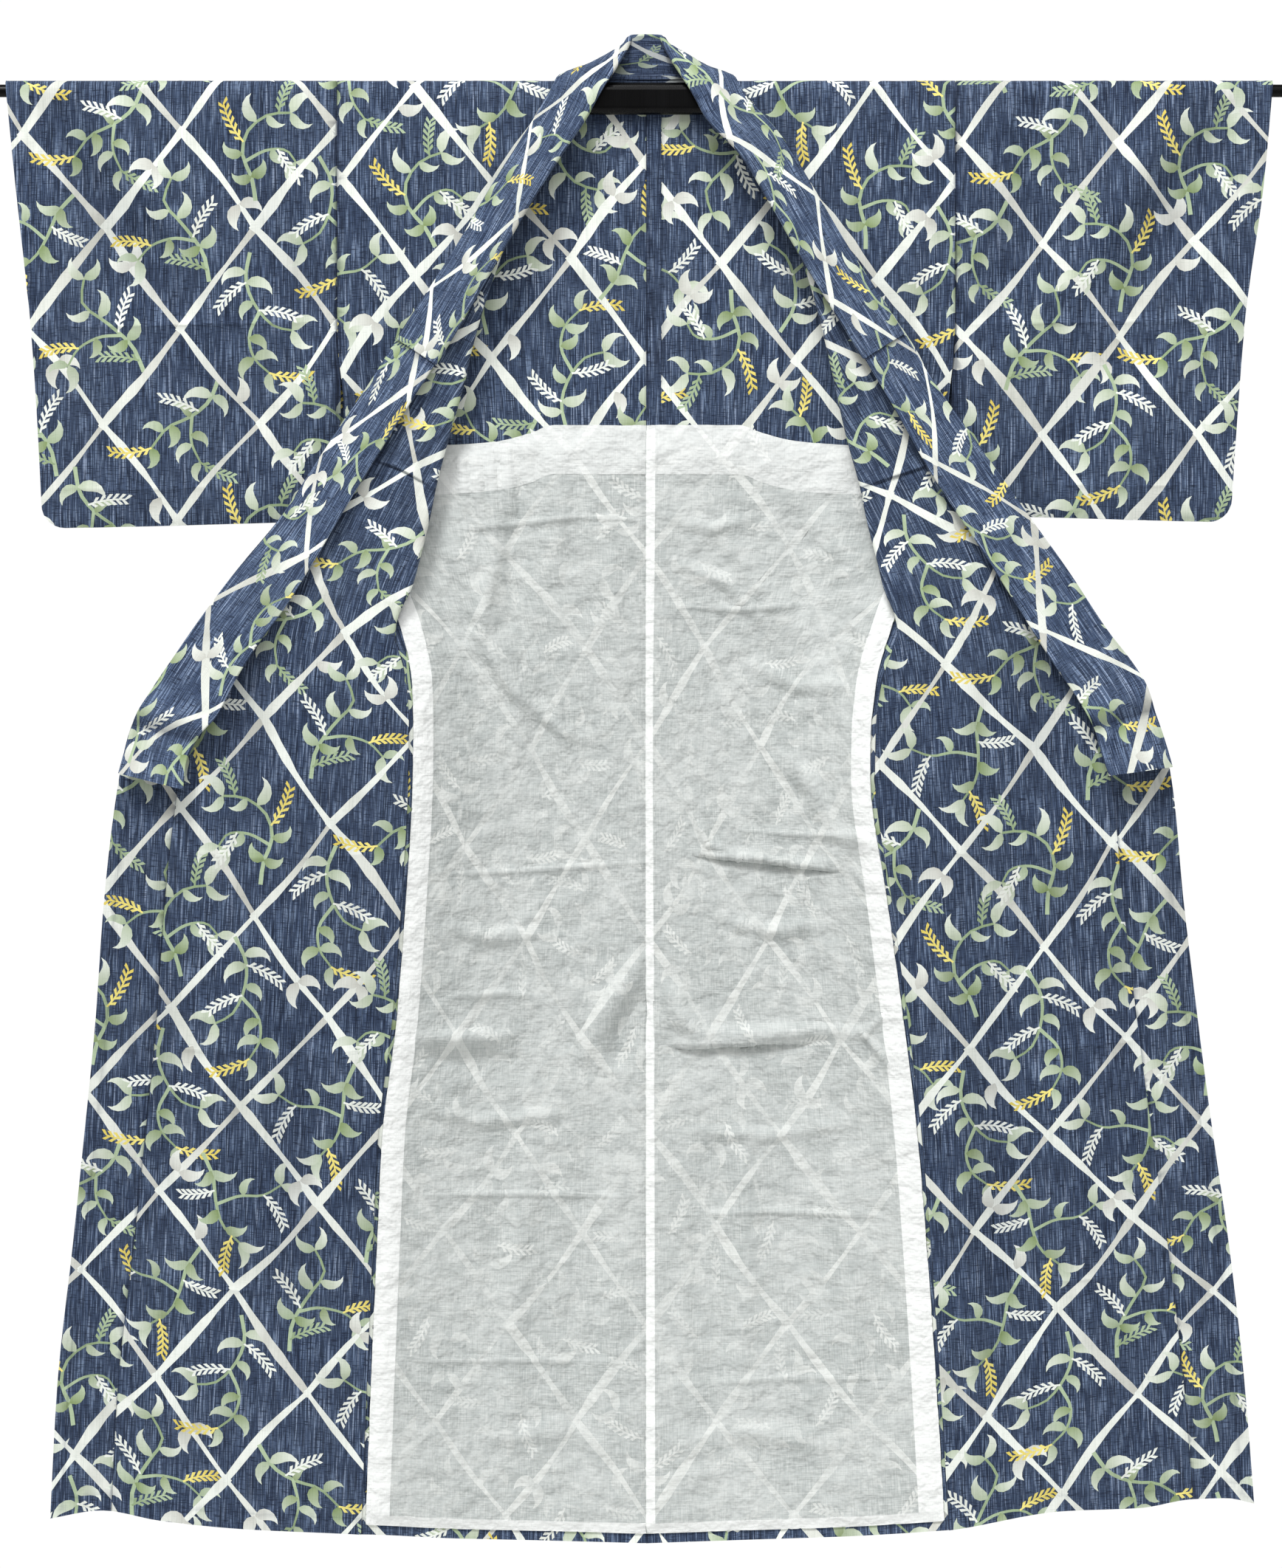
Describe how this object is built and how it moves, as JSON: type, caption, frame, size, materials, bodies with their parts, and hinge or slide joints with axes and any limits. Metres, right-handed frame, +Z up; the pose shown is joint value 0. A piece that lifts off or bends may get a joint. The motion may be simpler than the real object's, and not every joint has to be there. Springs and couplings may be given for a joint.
{
  "type": "cotton yukata robe on a hanging rod",
  "caption": "Unlined cotton yukata robe with a printed indigo ground, hung open on a black kimono rod, its fronts turned out to show a white half lining.",
  "frame": {"origin": "the middle of the hanging rod, 1.5 mm under the axis of its tubes, where a hook or cord holds it", "axes": "+X towards the wearer's left along the rod, +Y from the open front towards the back, +Z up"},
  "size_m": [1.42, 0.0798, 1.6128],
  "materials": {
    "body_cotton": "indigo slub cotton with a pale lattice and leaves, matt",
    "okumi_cotton": "indigo slub cotton with a pale lattice and leaves, matt",
    "sleeve_cotton": "indigo slub cotton with a pale lattice and leaves, matt",
    "collar_cotton": "indigo slub cotton with a pale lattice and leaves, matt",
    "cover_cotton": "indigo slub cotton with a pale lattice and leaves, matt",
    "lining_cotton": "thin white cotton, matt",
    "rod_plastic": "black, satin"
  },
  "bodies": {
    "root": {"body_right": "body_cotton", "body_left": "body_cotton", "okumi_right": "okumi_cotton", "okumi_left": "okumi_cotton", "sleeve_right": "sleeve_cotton", "sleeve_left": "sleeve_cotton", "collar": "collar_cotton", "collar_cover": "cover_cotton", "lining_right": "lining_cotton", "lining_left": "lining_cotton", "rod_arm_right": "rod_plastic", "rod_arm_left": "rod_plastic", "rod_grip": "rod_plastic"}
  },
  "joints": []
}
